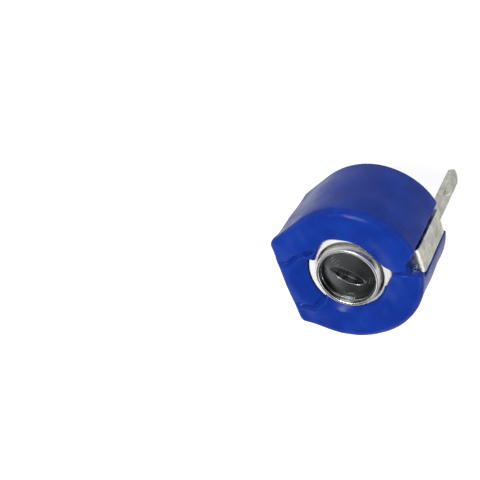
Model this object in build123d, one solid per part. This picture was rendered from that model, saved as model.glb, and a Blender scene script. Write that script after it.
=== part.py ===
from build123d import *
from math import acos, atan2, cos, radians, sin, sqrt, tan
import os

# A 6 mm ceramic trimmer capacitor with two leads for a printed board.
# Frame: the origin is in the board seat, on the adjuster's axis. +Z runs out of the adjuster,
# +X points to the stator terminal in the side channel, and the case's flat faces -X. Millimetres.

# Clearances
film_gap = 0.02
stake_clearance = 0.01
running_clearance = 0.06
seat_clearance = 0.05
edge_clearance = 0.10
strip_clearance = 0.12
slot_clearance = 0.08
lip_clearance = 0.22

# Case
case_radius = 3.0
case_height = 4.0
flat_cut = 0.25
corner_reach = 0.40
corner_rounding = 0.15
lip_rounding = 0.28
seat_rounding = 0.10
wall = 0.55
lip_thickness = 0.76

# Softened lip: the stretch along the flat lies lower, between two creases, and the two ends
# meet in a seam behind a small open notch
tab_drop = 0.10
tab_from = 150.0
tab_to = 213.0
seam_width = 0.10
seam_depth = 0.12
notch_reach = 0.40
notch_half_angle = 17.6

# Board face
pocket_bar_width = 2.8
pocket_bar_floor = 0.40
pocket_bar_inner = 0.45
pocket_bar_wall = 0.56
pocket_stem_width = 1.44
pocket_stem_floor = 0.70
lead_notch_depth = 0.50

# Sheet metal of both terminals
sheet = 0.22
bend_inside = 0.025
jog_straight = 0.02
jog_height = 0.30
lead_length = 3.8
lead_width = 0.70
strip_width = 1.00
strip_recess = 0.10
tongue_setback = 0.25
rib_length = 1.25
rib_width = 0.36
rib_height = 0.17
rib_inside = 0.85
rib_middle = 2.35

# Rotor terminal's contact ring
ring_inset = 0.25
ring_bore_inset = 0.10
arm_width = 0.80

# Spring washer
washer_sheet = 0.12
washer_height = 0.46

# Rotor plate and adjuster head
plate_thickness = 0.20
hub_inset = 0.40
head_radius = 1.33
head_proud = 0.08
boss_inset = 0.33
rim_wall = 0.13
rim_rounding = 0.05
dish_depth = 0.28
dish_crown = 0.16
slot_width = 0.50
slot_end_wall = 0.55
slot_depth = 0.35
slot_angle = -35.0

# Ceramic disc, its raised collar round the adjuster, and the solder on it
disc_thickness = 0.70
collar_width = 0.31
collar_height = 0.46
solder_length = 0.22
solder_width = 0.70
solder_hollow = 0.35

# Heights of the stack, which hangs from the lip
lip_bottom = case_height - lip_thickness
disc_top = lip_bottom - film_gap
disc_bottom = disc_top - disc_thickness
plate_top = disc_bottom - film_gap
plate_bottom = plate_top - plate_thickness
ring_top = plate_bottom - film_gap - washer_height
floor_top = ring_top - sheet
collar_top = disc_top + collar_height
tongue_top = disc_top + sheet
head_top = case_height + head_proud
dish_edge = head_top - dish_depth
dish_middle = dish_edge + dish_crown

# Places across the part
far = 2 * case_radius
flat_distance = case_radius - flat_cut
flat_half_length = sqrt((case_radius + corner_reach) ** 2 - flat_distance**2)
bend_radius = sheet / 2 + bend_inside
channel_width = strip_width + 2 * strip_clearance
strip_outer = case_radius - strip_recess
strip_middle = strip_outer - sheet / 2
channel_floor = strip_outer - sheet - slot_clearance
lead_x = strip_middle - 2 * bend_radius - jog_straight
lead_notch_inner = lead_x - sheet / 2 - slot_clearance
arm_bend = flat_distance - wall - edge_clearance - sheet / 2
arm_notch_inner = arm_bend - sheet / 2 - slot_clearance
arm_notch_width = arm_width + 2 * strip_clearance
pocket_reach = arm_bend - pocket_bar_wall
plate_radius = flat_distance - wall - edge_clearance
hub_radius = plate_radius - hub_inset
ring_outer = plate_radius - ring_inset
washer_outer = ring_outer - seat_clearance
boss_radius = head_radius - boss_inset
washer_inner = boss_radius + seat_clearance
ring_inner = boss_radius - ring_bore_inset
dish_radius = head_radius - rim_wall
disc_bore = head_radius + running_clearance
collar_radius = disc_bore + collar_width
opening_radius = head_radius + lip_clearance
notch_tip = opening_radius + notch_reach
tongue_end = collar_radius + tongue_setback
slot_length = 2 * (dish_radius - slot_end_wall)


def case_outline(inset=0.0):
    """The case's plan: an arc, two tangent shoulders and the flat, moved inwards by inset."""
    radius = case_radius - inset
    flat = flat_distance - inset
    shoulder = atan2(flat_half_length, -flat_distance) - acos(
        case_radius / (case_radius + corner_reach)
    )
    touch = (radius * cos(shoulder), radius * sin(shoulder))
    # where the shoulder, moved inwards with the arc, meets the flat
    corner_y = (radius + flat * cos(shoulder)) / sin(shoulder)
    arc = ThreePointArc((touch[0], -touch[1]), (radius, 0), touch)
    upper = Line(touch, (-flat, corner_y))
    side = Line((-flat, corner_y), (-flat, -corner_y))
    lower = Line((-flat, -corner_y), (touch[0], -touch[1]))
    return make_face([arc, upper, side, lower])


def block(x_low, x_high, width, z_low, z_high):
    """A box that spans x_low..x_high and z_low..z_high, and is centred on Y."""
    size = (x_high - x_low, width, z_high - z_low)
    return Pos((x_low + x_high) / 2, 0, (z_low + z_high) / 2) * Box(*size)


def disc(radius, z_low, z_high):
    """A plain cylinder on the adjuster's axis."""
    return Pos(0, 0, (z_low + z_high) / 2) * Cylinder(radius, z_high - z_low)


def sector(angle_from, angle_to, z_low, z_high):
    """A wedge about the adjuster's axis, long enough to pass the case's edge."""
    points = [(0, 0)]
    for angle in (angle_from, (angle_from + angle_to) / 2, angle_to):
        direction = Vector(far, 0).rotate(Axis.Z, angle)
        points.append((direction.X, direction.Y))
    face = make_face(Polyline(*points, close=True))
    return Pos(0, 0, z_low) * extrude(face, z_high - z_low)


def bent_strip(points, width):
    """Sheet metal that follows points in the XZ plane, with its bends rounded."""
    path = FilletPolyline(*points, radius=bend_radius)
    start = Plane(path @ 0, x_dir=(0, 1, 0), z_dir=path % 0)
    return sweep(start * Rectangle(width, sheet), path=path)


def lead_outline(upper_width):
    """The terminal's width, seen along X: the strip above, the round-tipped lead below."""
    half = lead_width / 2
    strip_low = jog_height - sheet / 2
    shank_length = strip_low + lead_length - half
    shank = Pos(0, strip_low - shank_length / 2) * Rectangle(lead_width, shank_length)
    tip = Pos(0, half - lead_length) * Circle(half)
    upper = Pos(0, (strip_low + case_height) / 2) * Rectangle(
        upper_width, case_height - strip_low
    )
    face = Plane.YZ * (shank + tip + upper)
    return Pos(-far, 0, 0) * extrude(face, 2 * far)


def pressed_rib(lead, side):
    """The lead with its rib pushed outwards, side being +1 or -1 along X."""
    outer_face = side * (lead_x + sheet / 2)
    inner_face = side * (lead_x - sheet / 2)
    swell = scale(Sphere(1), by=(rib_height, rib_width / 2, rib_length / 2))
    hollow = scale(swell, by=rib_inside)
    raised = lead + Pos(outer_face, 0, -rib_middle) * swell
    return raised - Pos(inner_face, 0, -rib_middle) * hollow


def make_case():
    """The moulding: outside, stack cavity, lip opening, terminal ways and board-face pocket."""
    body = extrude(case_outline(), case_height)
    corners = body.edges().filter_by(Axis.Z).sort_by(Axis.X)[:2]
    body = fillet(corners, corner_rounding)
    body = fillet(body.edges().group_by(Axis.Z)[-1], lip_rounding)
    body = fillet(body.edges().group_by(Axis.Z)[0], seat_rounding)

    body -= Pos(0, 0, floor_top) * extrude(case_outline(wall), lip_bottom - floor_top)
    body -= disc(opening_radius, lip_bottom, far)
    body -= disc(collar_radius + seat_clearance, lip_bottom, collar_top + film_gap)
    spread = notch_tip * tan(radians(notch_half_angle))
    wedge = make_face(Polyline((0, spread), (0, -spread), (notch_tip, 0), close=True))
    body -= Pos(0, 0, lip_bottom) * extrude(wedge, far)
    body -= sector(tab_from, tab_to, case_height - tab_drop, far)
    body -= block(opening_radius, far, seam_width, case_height - seam_depth, far)

    body -= block(channel_floor, far, channel_width, -far, far)
    body -= block(lead_notch_inner, far, channel_width, -far, lead_notch_depth)
    body -= block(opening_radius, far, channel_width, disc_bottom, tongue_top + film_gap)

    arm_way_outer = arm_bend + sheet / 2 + slot_clearance / 2
    arm_way_inner = arm_bend - sheet / 2 - bend_radius
    body -= block(-far, -arm_notch_inner, arm_notch_width, -far, lead_notch_depth)
    body -= block(-arm_way_outer, -arm_way_inner, arm_notch_width, 0, floor_top)

    bar_depth = floor_top - pocket_bar_floor
    stem_depth = floor_top - pocket_stem_floor
    body -= block(-pocket_reach, -pocket_bar_inner, pocket_bar_width, -far, bar_depth)
    body -= block(-pocket_bar_inner, pocket_reach, pocket_stem_width, -far, stem_depth)
    return body


def make_stator_disc():
    """The ceramic disc, keyed by the case's flat, with its collar and the bore for the head."""
    outline = case_outline(wall + seat_clearance)
    blank = Pos(0, 0, disc_bottom) * extrude(outline, disc_thickness)
    blank += disc(collar_radius, disc_bottom, collar_top)
    return blank - disc(disc_bore, 0, case_height)


def make_stator_terminal():
    """Tongue on the disc, strip down the side channel, jog inwards, lead."""
    points = [
        (tongue_end, 0, disc_top + sheet / 2),
        (strip_middle, 0, disc_top + sheet / 2),
        (strip_middle, 0, jog_height),
        (lead_x, 0, jog_height),
        (lead_x, 0, -lead_length),
    ]
    strip = bent_strip(points, strip_width) & lead_outline(strip_width)
    return pressed_rib(strip, 1)


def make_solder_joint():
    """A fillet of solder against the tongue's end, with a hollow face."""
    foot = (tongue_end - solder_length, disc_top)
    heel = (tongue_end, disc_top)
    crest = (tongue_end, tongue_top - film_gap)
    hollow = (tongue_end - solder_hollow * solder_length, disc_top + solder_hollow * sheet)
    face = make_face([Line(foot, heel), Line(heel, crest), ThreePointArc(crest, hollow, foot)])
    return extrude(Plane.XZ * face, solder_width / 2, both=True)


def make_rotor_terminal():
    """Contact ring on the case's floor, arm down through it, jog outwards, lead."""
    points = [
        (-ring_inner - sheet, 0, floor_top + sheet / 2),
        (-arm_bend, 0, floor_top + sheet / 2),
        (-arm_bend, 0, jog_height),
        (-lead_x, 0, jog_height),
        (-lead_x, 0, -lead_length),
    ]
    arm = bent_strip(points, arm_width) & lead_outline(arm_width)
    ring = disc(ring_outer, floor_top, ring_top)
    return ring + pressed_rib(arm, -1) - disc(ring_inner, floor_top, ring_top)


def make_spring_washer():
    """A dished washer, its wide edge on the contact ring and its narrow one at the plate."""
    top = ring_top + washer_height
    section = Polyline(
        (washer_outer, ring_top),
        (washer_outer, ring_top + washer_sheet),
        (washer_inner, top),
        (washer_inner, top - washer_sheet),
        close=True,
    )
    return revolve(Plane.XZ * make_face(section), Axis.Z)


def make_rotor_plate():
    """A hub and a half-moon electrode, turned to the driver slot's angle."""
    half = Pos(0, plate_radius / 2) * Rectangle(2 * plate_radius, plate_radius)
    outline = Circle(hub_radius) + (Circle(plate_radius) & half)
    plate = Pos(0, 0, plate_bottom) * extrude(outline, plate_thickness)
    plate -= disc(boss_radius + stake_clearance, 0, case_height)
    return Rot(0, 0, slot_angle) * plate


def make_adjuster_head():
    """The turned head: staked boss, raised rim round a crowned dish, and the driver slot."""
    head = disc(head_radius, plate_top, head_top) + disc(boss_radius, plate_bottom, plate_top)
    dish = make_face(
        [
            Line((0, dish_middle), (0, far)),
            Line((0, far), (dish_radius, far)),
            Line((dish_radius, far), (dish_radius, dish_edge)),
            TangentArc((0, dish_middle), (dish_radius, dish_edge), tangent=(1, 0)),
        ]
    )
    head -= revolve(Plane.XZ * dish, Axis.Z)
    head = fillet(head.edges().group_by(Axis.Z)[-1], rim_rounding)
    slot = extrude(SlotOverall(slot_length, slot_width), far)
    return head - Pos(0, 0, dish_middle - slot_depth) * Rot(0, 0, slot_angle) * slot


pieces = {
    "case": make_case(),
    "stator_disc": make_stator_disc(),
    "stator_terminal": make_stator_terminal(),
    "solder_joint": make_solder_joint(),
    "rotor_terminal": make_rotor_terminal(),
    "spring_washer": make_spring_washer(),
    "rotor_plate": make_rotor_plate(),
    "adjuster_head": make_adjuster_head(),
}
os.makedirs("parts", exist_ok=True)
for name, shape in pieces.items():
    export_step(shape, f"parts/{name}.step")
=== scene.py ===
"""Studio scene of a 6 mm ceramic trimmer capacitor with two leads for a printed board.

The object's frame has its origin in the board seat, on the adjuster's axis. +Z runs out of the
adjuster, +X points to the stator terminal in the side channel, and the case's flat faces -X.
Sizes are in millimetres, and meshes are written in metres.
"""

import logging
import math
from dataclasses import dataclass, field
from enum import Enum
from typing import Any, Callable, Optional, Sequence

import bmesh
import bpy
import numpy as np
from mathutils import Matrix, Vector

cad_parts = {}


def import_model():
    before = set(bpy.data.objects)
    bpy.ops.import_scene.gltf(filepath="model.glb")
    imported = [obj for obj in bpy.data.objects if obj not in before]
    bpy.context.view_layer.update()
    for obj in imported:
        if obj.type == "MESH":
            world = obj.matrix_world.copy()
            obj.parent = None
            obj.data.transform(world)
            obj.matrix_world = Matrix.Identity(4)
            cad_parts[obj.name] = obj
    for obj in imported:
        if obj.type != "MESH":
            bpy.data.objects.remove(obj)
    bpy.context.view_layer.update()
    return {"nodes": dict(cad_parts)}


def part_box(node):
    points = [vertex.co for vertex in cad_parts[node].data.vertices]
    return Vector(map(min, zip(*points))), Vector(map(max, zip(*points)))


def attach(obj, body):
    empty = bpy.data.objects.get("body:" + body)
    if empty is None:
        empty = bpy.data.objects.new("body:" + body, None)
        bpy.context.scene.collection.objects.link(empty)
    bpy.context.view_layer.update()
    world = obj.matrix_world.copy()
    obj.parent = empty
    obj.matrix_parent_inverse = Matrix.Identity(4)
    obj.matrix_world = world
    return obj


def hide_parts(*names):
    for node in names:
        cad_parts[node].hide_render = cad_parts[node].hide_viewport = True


LOG = logging.getLogger("trimmer")
MM = 0.001

Array = np.ndarray
Field = Callable[[Array, Array, Array], Array]
Colour = tuple[float, float, float]


class Body(Enum):
    """The two bodies that turn against each other."""

    STATOR = "stator"
    ROTOR = "rotor"


class Slot(Enum):
    """The record's material slots."""

    BLUE_PLASTIC = "blue_plastic"
    WHITE_CERAMIC = "white_ceramic"
    TINNED_METAL = "tinned_metal"
    PLATED_HEAD = "plated_head"
    PLATED_BRASS = "plated_brass"
    SPRING_STEEL = "spring_steel"
    SOLDER = "solder"


class Side(Enum):
    """Which way a terminal's outer face looks along X."""

    PLUS_X = 1.0
    MINUS_X = -1.0


# ---------------------------------------------------------------- node trees


class Tree:
    """A node tree under construction, with short calls that add and join its nodes."""

    def __init__(self, tree: bpy.types.NodeTree) -> None:
        """Starts from an empty tree.

        Args:
            tree: the node tree of a material, a world or a group.
        """
        self.tree = tree
        tree.nodes.clear()

    def add(self, kind: str, inputs: Optional[dict[str, Any]] = None, **settings: Any) -> bpy.types.Node:
        """Adds a node.

        Args:
            kind: the node's type name.
            inputs: values or sockets for its inputs, by input name.
            settings: values for the node's own properties.

        Returns:
            The new node.
        """
        node = self.tree.nodes.new(kind)
        for name, value in settings.items():
            setattr(node, name, value)
        for name, value in (inputs or {}).items():
            self.put(value, node.inputs[name])
        return node

    def put(self, value: Any, target: bpy.types.NodeSocket) -> None:
        """Joins a socket to an input, or sets the input's value."""
        if isinstance(value, bpy.types.NodeSocket):
            self.tree.links.new(value, target)
        else:
            target.default_value = value

    def math(self, operation: str, *values: Any, clamp: bool = False) -> bpy.types.NodeSocket:
        """Adds a math node on up to three values or sockets, and returns its result."""
        node = self.tree.nodes.new("ShaderNodeMath")
        node.operation = operation
        node.use_clamp = clamp
        for place, value in enumerate(values):
            self.put(value, node.inputs[place])
        return node.outputs[0]

    def vector(self, operation: str, *values: Any) -> bpy.types.NodeSocket:
        """Adds a vector math node, and returns its vector."""
        node = self.tree.nodes.new("ShaderNodeVectorMath")
        node.operation = operation
        for place, value in enumerate(values):
            self.put(value, node.inputs[place])
        return node.outputs["Vector"]

    def scaled(self, vector: Any, factor: Any) -> bpy.types.NodeSocket:
        """A vector times a number."""
        node = self.tree.nodes.new("ShaderNodeVectorMath")
        node.operation = "SCALE"
        self.put(vector, node.inputs[0])
        self.put(factor, node.inputs["Scale"])
        return node.outputs["Vector"]

    def ease(self, value: Any, start: Any, end: Any, low: Any = 0.0, high: Any = 1.0) -> bpy.types.NodeSocket:
        """A smooth step from low, where value is at start, to high, where it is at end."""
        node = self.add(
            "ShaderNodeMapRange",
            {"Value": value, "From Min": start, "From Max": end, "To Min": low, "To Max": high},
            interpolation_type="SMOOTHSTEP",
        )
        return node.outputs["Result"]

    def blend(self, mask: Any, first: Any, second: Any) -> bpy.types.NodeSocket:
        """A colour that goes from first to second as mask goes from 0 to 1."""
        node = self.tree.nodes.new("ShaderNodeMix")
        node.data_type = "RGBA"
        self.put(mask, node.inputs[0])
        self.put(first, node.inputs[6])
        self.put(second, node.inputs[7])
        return node.outputs[2]


def group_tree(name: str, kind: str, inputs: dict[str, Any], outputs: dict[str, str]) -> Tree:
    """Makes a node group with named inputs and outputs.

    Args:
        name: the group's name.
        kind: the tree's type name.
        inputs: default values by input name, a socket's type name standing for one without a value.
        outputs: socket type names by output name.

    Returns:
        The empty group, ready for its nodes.
    """
    group = bpy.data.node_groups.new(name, kind)
    for label, value in inputs.items():
        if isinstance(value, str):
            group.interface.new_socket(label, in_out="INPUT", socket_type=value)
            continue
        socket_type = "NodeSocketInt" if isinstance(value, int) else "NodeSocketFloat"
        socket = group.interface.new_socket(label, in_out="INPUT", socket_type=socket_type)
        socket.default_value = value
    for label, socket_type in outputs.items():
        group.interface.new_socket(label, in_out="OUTPUT", socket_type=socket_type)
    return Tree(group)


class Effects:
    """The surface effects that several finishes share, each a node group that is built once."""

    def __init__(self) -> None:
        """Builds the grain, smudge and edge groups."""
        self.grain = self.make_grain()
        self.smudge = self.make_smudge()
        self.edge = self.make_edge()

    def make_grain(self) -> bpy.types.NodeTree:
        """Fine relief on the surface, with the tone that goes with it."""
        inputs = {"Size": 0.1, "Detail": 3.0, "Roughness": 0.55, "Drift": 0.0}
        outputs = {"Height": "NodeSocketFloat", "Tone": "NodeSocketFloat"}
        tree = group_tree("grain", "ShaderNodeTree", inputs, outputs)
        ends = tree.add("NodeGroupInput").outputs
        place = tree.add("ShaderNodeTexCoord").outputs["Object"]
        per_metre = tree.math("DIVIDE", 1.0 / MM, ends["Size"])
        noise = tree.add(
            "ShaderNodeTexNoise",
            {
                "Vector": place,
                "W": ends["Drift"],
                "Scale": per_metre,
                "Detail": ends["Detail"],
                "Roughness": ends["Roughness"],
            },
            noise_dimensions="4D",
        )
        height = noise.outputs["Fac"]
        tone = tree.ease(height, 0.32, 0.68)
        tree.add("NodeGroupOutput", {"Height": height, "Tone": tone})
        return tree.tree

    def make_smudge(self) -> bpy.types.NodeTree:
        """Soft patches from handling, with long faint streaks through them."""
        inputs = {"Size": 1.0, "Stretch": 4.0, "Drift": 0.0}
        tree = group_tree("smudge", "ShaderNodeTree", inputs, {"Mask": "NodeSocketFloat"})
        ends = tree.add("NodeGroupInput").outputs
        place = tree.add("ShaderNodeTexCoord").outputs["Object"]
        per_metre = tree.math("DIVIDE", 1.0 / MM, ends["Size"])
        stretch = tree.add("ShaderNodeCombineXYZ", {"X": 1.0, "Y": 1.0, "Z": ends["Stretch"]})
        streak_place = tree.vector("MULTIPLY", place, stretch.outputs[0])
        patch = tree.add(
            "ShaderNodeTexNoise",
            {"Vector": place, "W": ends["Drift"], "Scale": per_metre, "Detail": 2.0},
            noise_dimensions="4D",
        )
        streak = tree.add(
            "ShaderNodeTexNoise",
            {"Vector": streak_place, "W": ends["Drift"], "Scale": per_metre, "Detail": 4.0},
            noise_dimensions="4D",
        )
        both = tree.math("ADD", patch.outputs["Fac"], streak.outputs["Fac"])
        tree.add("NodeGroupOutput", {"Mask": tree.ease(both, 0.8, 1.25)})
        return tree.tree

    def make_edge(self) -> bpy.types.NodeTree:
        """Where the surface turns outwards, broken up by noise, and where it turns inwards, for painted shade
        in hollows.
        """
        inputs = {"Start": 0.52, "End": 0.60, "Size": 0.4}
        outputs = {"Mask": "NodeSocketFloat", "Hollow Shade": "NodeSocketFloat"}
        tree = group_tree("edge_wear_and_hollow_shade", "ShaderNodeTree", inputs, outputs)
        ends = tree.add("NodeGroupInput").outputs
        bend = tree.add("ShaderNodeNewGeometry").outputs["Pointiness"]
        place = tree.add("ShaderNodeTexCoord").outputs["Object"]
        per_metre = tree.math("DIVIDE", 1.0 / MM, ends["Size"])
        noise = tree.add("ShaderNodeTexNoise", {"Vector": place, "Scale": per_metre, "Detail": 3.0})
        edge = tree.ease(bend, ends["Start"], ends["End"])
        broken = tree.ease(noise.outputs["Fac"], 0.40, 0.60, 0.35, 1.0)
        # Concave places, where painted shade darkens the surface.
        hollow_shade = tree.ease(bend, 0.495, 0.45)
        tree.add("NodeGroupOutput", {"Mask": tree.math("MULTIPLY", edge, broken), "Hollow Shade": hollow_shade})
        return tree.tree


# ---------------------------------------------------------------- finishes


@dataclass(frozen=True)
class Finish:
    """What every finish has: its name, its colours and how it shines."""

    name: str
    colour: Colour
    second: Colour
    roughness: float
    roughness_spread: float
    metallic: float = 0.0
    grain_size: float = 0.1
    grain_depth: float = 0.004

    def rgba(self, colour: Colour) -> tuple[float, float, float, float]:
        """A colour with full opacity."""
        return (*colour, 1.0)

    def start(self) -> tuple[bpy.types.Material, Tree, bpy.types.Node]:
        """Makes the material with its Principled shader and output."""
        material = bpy.data.materials.new(self.name)
        material.use_nodes = True
        tree = Tree(material.node_tree)
        shader = tree.add("ShaderNodeBsdfPrincipled", {"Metallic": self.metallic})
        tree.add("ShaderNodeOutputMaterial", {"Surface": shader.outputs[0]})
        material.diffuse_color = self.rgba(self.colour)
        return material, tree, shader

    def effect(self, tree: Tree, group: bpy.types.NodeTree, **values: float) -> bpy.types.Node:
        """Places a shared effect in the material, with this finish's values."""
        node = tree.add("ShaderNodeGroup", node_tree=group)
        for label, value in values.items():
            node.inputs[label].default_value = value
        return node

    def relief(self, tree: Tree, height: bpy.types.NodeSocket, depth: float) -> bpy.types.NodeSocket:
        """A normal from a height, depth being the relief's full depth in millimetres."""
        bump = tree.add("ShaderNodeBump", {"Height": height, "Distance": depth * MM, "Strength": 1.0})
        return bump.outputs["Normal"]

    def build(self, effects: Effects) -> bpy.types.Material:
        """Makes a material whose two colours mix by grain and smudges.

        Args:
            effects: the shared effect groups.

        Returns:
            The material.
        """
        material, tree, shader = self.start()
        grain = self.effect(tree, effects.grain, Size=self.grain_size)
        smudge = self.effect(tree, effects.smudge, Size=12.0 * self.grain_size)
        mask = tree.math("MULTIPLY", grain.outputs["Tone"], 0.6)
        mask = tree.math("ADD", mask, tree.math("MULTIPLY", smudge.outputs["Mask"], 0.4))
        colour = tree.blend(mask, self.rgba(self.colour), self.rgba(self.second))
        tree.put(colour, shader.inputs["Base Color"])
        spread = tree.math("MULTIPLY", smudge.outputs["Mask"], self.roughness_spread)
        tree.put(tree.math("ADD", spread, self.roughness), shader.inputs["Roughness"])
        normal = self.relief(tree, grain.outputs["Height"], self.grain_depth)
        tree.put(normal, shader.inputs["Normal"])
        return material


@dataclass(frozen=True)
class MouldedPlastic(Finish):
    """Glossy moulded plastic with slow waves, faint handling marks and paler edges."""

    wave_size: float = 0.7
    wave_depth: float = 0.008
    edge_colour: Colour = (0.02, 0.06, 0.45)
    shine: float = 0.12

    def build(self, effects: Effects) -> bpy.types.Material:
        """Makes the plastic's material.

        Args:
            effects: the shared effect groups.

        Returns:
            The material.
        """
        material, tree, shader = self.start()
        grain = self.effect(tree, effects.grain, Size=self.grain_size, Detail=4.0)
        wave = self.effect(tree, effects.grain, Size=self.wave_size, Detail=1.5, Drift=3.0)
        smudge = self.effect(tree, effects.smudge, Size=0.8, Stretch=0.4, Drift=1.0)
        edge = self.effect(tree, effects.edge, Start=0.51, End=0.58, Size=0.5)
        colour = tree.blend(wave.outputs["Tone"], self.rgba(self.colour), self.rgba(self.second))
        pale = tree.math("MULTIPLY", edge.outputs["Mask"], 0.15)
        colour = tree.blend(pale, colour, self.rgba(self.edge_colour))
        tree.put(colour, shader.inputs["Base Color"])
        rough = tree.math("MULTIPLY", smudge.outputs["Mask"], self.roughness_spread)
        tree.put(tree.math("ADD", rough, self.roughness), shader.inputs["Roughness"])
        fine = tree.math("MULTIPLY", grain.outputs["Height"], self.grain_depth / self.wave_depth)
        height = tree.math("ADD", wave.outputs["Height"], fine)
        tree.put(self.relief(tree, height, self.wave_depth), shader.inputs["Normal"])
        shader.inputs["Specular IOR Level"].default_value = self.shine
        return material


@dataclass(frozen=True)
class DippedTin(Finish):
    """Dull tin that was dipped on: uneven, granular, with darker pits, painted shade in its hollows and clean
    rubbed edges.
    """

    # Dark tone for the pits, and also for the painted shade in hollows.
    pit_and_shade_colour: Colour = (0.22, 0.22, 0.19)

    def build(self, effects: Effects) -> bpy.types.Material:
        """Makes the tin's material.

        Args:
            effects: the shared effect groups.

        Returns:
            The material.
        """
        material, tree, shader = self.start()
        grain = self.effect(tree, effects.grain, Size=self.grain_size, Detail=5.0, Roughness=0.7)
        flow = self.effect(tree, effects.grain, Size=0.45, Detail=2.0, Drift=5.0)
        smudge = self.effect(tree, effects.smudge, Size=0.5, Stretch=0.3, Drift=2.0)
        edge = self.effect(tree, effects.edge, Start=0.53, End=0.65, Size=0.2)
        colour = tree.blend(flow.outputs["Tone"], self.rgba(self.second), self.rgba(self.colour))
        pit = tree.ease(grain.outputs["Height"], 0.42, 0.30, 0.0, 0.8)
        colour = tree.blend(pit, colour, self.rgba(self.pit_and_shade_colour))
        # Painted shade: hollows darkened towards the pit colour.
        hollow_shade = tree.math("MULTIPLY", edge.outputs["Hollow Shade"], 0.9)
        colour = tree.blend(hollow_shade, colour, self.rgba(self.pit_and_shade_colour))
        tree.put(colour, shader.inputs["Base Color"])
        rough = tree.math("MULTIPLY", smudge.outputs["Mask"], self.roughness_spread)
        rough = tree.math("ADD", rough, self.roughness)
        rubbed = tree.math("MULTIPLY", edge.outputs["Mask"], -0.12)
        tree.put(tree.math("ADD", rough, rubbed), shader.inputs["Roughness"])
        fine = tree.math("MULTIPLY", grain.outputs["Height"], 0.45)
        height = tree.math("ADD", fine, flow.outputs["Height"])
        tree.put(self.relief(tree, height, self.grain_depth), shader.inputs["Normal"])
        return material


@dataclass(frozen=True)
class PlatedHead(Finish):
    """Bright plating on the rim, with a painted dark reflection over the dish, paler in soft patches."""

    # The dish's two colours are painted reflection: dark, and paler in soft patches.
    dish_painted_dark_reflection: Colour = (0.085, 0.090, 0.092)
    dish_painted_pale_reflection: Colour = (0.15, 0.16, 0.165)
    dish_radius: float = 1.2
    dish_top: float = 4.0

    def build(self, effects: Effects) -> bpy.types.Material:
        """Makes the head's material.

        Args:
            effects: the shared effect groups.

        Returns:
            The material.
        """
        material, tree, shader = self.start()
        grain = self.effect(tree, effects.grain, Size=self.grain_size, Detail=4.0)
        smudge = self.effect(tree, effects.smudge, Size=1.6, Stretch=1.0, Drift=4.0)
        edge = self.effect(tree, effects.edge, Start=0.58, End=0.70, Size=0.15)
        place = tree.add("ShaderNodeTexCoord").outputs["Object"]
        apart = tree.add("ShaderNodeSeparateXYZ")
        tree.put(place, apart.inputs[0])
        across = tree.math("POWER", apart.outputs["X"], 2.0)
        along = tree.math("POWER", apart.outputs["Y"], 2.0)
        radial = tree.math("SQRT", tree.math("ADD", across, along))
        inner = (self.dish_radius - 0.02) * MM
        outer = (self.dish_radius + 0.01) * MM
        in_dish = tree.ease(radial, outer, inner)
        below = tree.ease(apart.outputs["Z"], self.dish_top * MM, (self.dish_top - 0.06) * MM)
        dish = tree.math("MULTIPLY", in_dish, below)
        bright = tree.blend(grain.outputs["Tone"], self.rgba(self.colour), self.rgba(self.second))
        # Painted dark reflection over the dish, paler where the smudge mask is high.
        dark = tree.blend(smudge.outputs["Mask"], self.rgba(self.dish_painted_dark_reflection), self.rgba(self.dish_painted_pale_reflection))
        worn = tree.math("MULTIPLY", edge.outputs["Mask"], 0.9)
        dark = tree.blend(worn, dark, self.rgba(self.colour))
        tree.put(tree.blend(dish, bright, dark), shader.inputs["Base Color"])
        rough = tree.math("MULTIPLY", smudge.outputs["Mask"], self.roughness_spread)
        tree.put(tree.math("ADD", rough, self.roughness), shader.inputs["Roughness"])
        tree.put(self.relief(tree, grain.outputs["Height"], self.grain_depth), shader.inputs["Normal"])
        return material


class FinishSet:
    """Every finish on the object, built once, by material slot."""

    def __init__(self, head: "AdjusterHead") -> None:
        """Builds the materials.

        Args:
            head: the adjuster head, whose dish sets where the painted dark reflection goes.
        """
        effects = Effects()
        plans = {
            Slot.BLUE_PLASTIC: MouldedPlastic(
                "blue_moulding", (0.005, 0.030, 0.27), (0.007, 0.040, 0.33), 0.17, 0.12,
                grain_size=0.07, grain_depth=0.0008,
            ),
            Slot.TINNED_METAL: DippedTin(
                "dipped_tin", (0.82, 0.81, 0.72), (0.50, 0.50, 0.44), 0.22, 0.20,
                metallic=1.0, grain_size=0.09, grain_depth=0.040,
            ),
            Slot.PLATED_HEAD: PlatedHead(
                "plated_turning", (0.92, 0.92, 0.90), (0.82, 0.82, 0.80), 0.24, 0.14,
                metallic=1.0, grain_size=0.25, grain_depth=0.0008,
                dish_radius=head.dish_radius, dish_top=head.top,
            ),
            Slot.WHITE_CERAMIC: Finish(
                "fired_ceramic", (0.93, 0.92, 0.88), (0.88, 0.86, 0.80), 0.40, 0.15, grain_size=0.05,
            ),
            Slot.PLATED_BRASS: Finish(
                "stamped_brass", (0.72, 0.60, 0.36), (0.60, 0.50, 0.30), 0.28, 0.15,
                metallic=1.0, grain_size=0.08,
            ),
            Slot.SPRING_STEEL: Finish(
                "spring_steel", (0.55, 0.54, 0.52), (0.42, 0.42, 0.42), 0.25, 0.12,
                metallic=1.0, grain_size=0.08,
            ),
            Slot.SOLDER: Finish(
                "solder", (0.90, 0.90, 0.88), (0.80, 0.80, 0.77), 0.42, 0.20,
                metallic=1.0, grain_size=0.09, grain_depth=0.006,
            ),
        }
        self.materials = {slot: plan.build(effects) for slot, plan in plans.items()}

    def of(self, slot: Slot) -> bpy.types.Material:
        """The material of a slot."""
        return self.materials[slot]


# ---------------------------------------------------------------- solids given by a distance


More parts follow.
